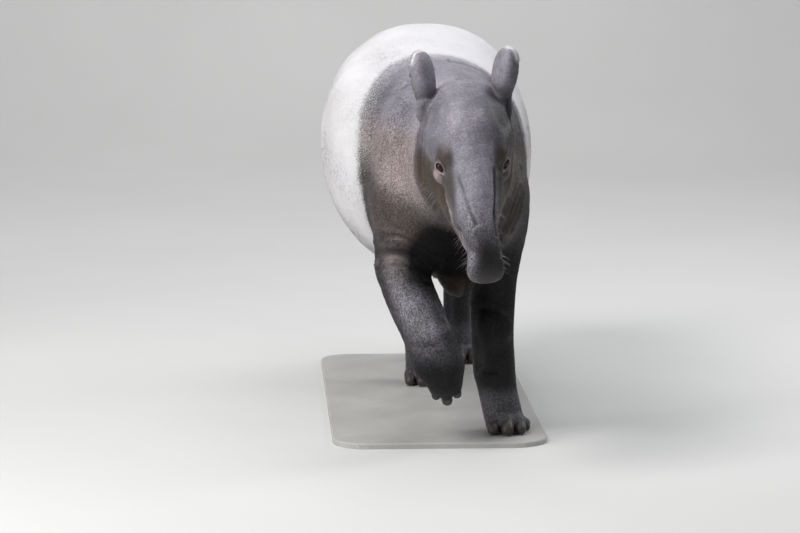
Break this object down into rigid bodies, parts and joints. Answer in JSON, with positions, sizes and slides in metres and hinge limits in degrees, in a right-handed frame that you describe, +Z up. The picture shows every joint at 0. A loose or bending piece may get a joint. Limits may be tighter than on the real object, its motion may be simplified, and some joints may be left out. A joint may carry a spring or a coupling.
{
  "type": "malayan tapir",
  "caption": "Life-size standing model of an adult Malayan tapir in mid stride, black fore part and legs, white saddle, drooping snout, on a low display plate.",
  "frame": {"origin": "middle of the underside of the display plate, under the middle of the animal's length and width", "axes": "+Z up; the animal looks along -Y, and its left side is +X"},
  "size_m": [0.6048, 1.8156, 1.0881],
  "materials": {
    "black_coat": "short, sleek, near-black hair with a dull sheen",
    "white_coat": "short, dense, greyish-white hair",
    "hoof": "dull horn",
    "eye": "wet, dark brown",
    "plate": "matt warm grey paint"
  },
  "bodies": {
    "root": {"head": "black_coat", "proboscis": "black_coat", "neck": "black_coat", "ear_left": "black_coat", "ear_right": "black_coat", "upper_arm_left": "black_coat", "upper_arm_right": "black_coat", "fore_leg_left": "black_coat", "fore_leg_right": "black_coat", "fore_foot_left": "black_coat", "fore_foot_right": "black_coat", "thigh_left": "black_coat", "thigh_right": "black_coat", "hind_leg_left": "black_coat", "hind_leg_right": "black_coat", "hind_foot_left": "black_coat", "hind_foot_right": "black_coat", "trunk": "white_coat", "tail": "white_coat", "eye_left": "eye", "eye_right": "eye", "fore_foot_left_hoof_1": "hoof", "fore_foot_left_hoof_2": "hoof", "fore_foot_left_hoof_3": "hoof", "fore_foot_left_hoof_4": "hoof", "fore_foot_right_hoof_1": "hoof", "fore_foot_right_hoof_2": "hoof", "fore_foot_right_hoof_3": "hoof", "fore_foot_right_hoof_4": "hoof", "hind_foot_left_hoof_1": "hoof", "hind_foot_left_hoof_2": "hoof", "hind_foot_left_hoof_3": "hoof", "hind_foot_right_hoof_1": "hoof", "hind_foot_right_hoof_2": "hoof", "hind_foot_right_hoof_3": "hoof", "stand_plate": "plate"}
  },
  "joints": []
}
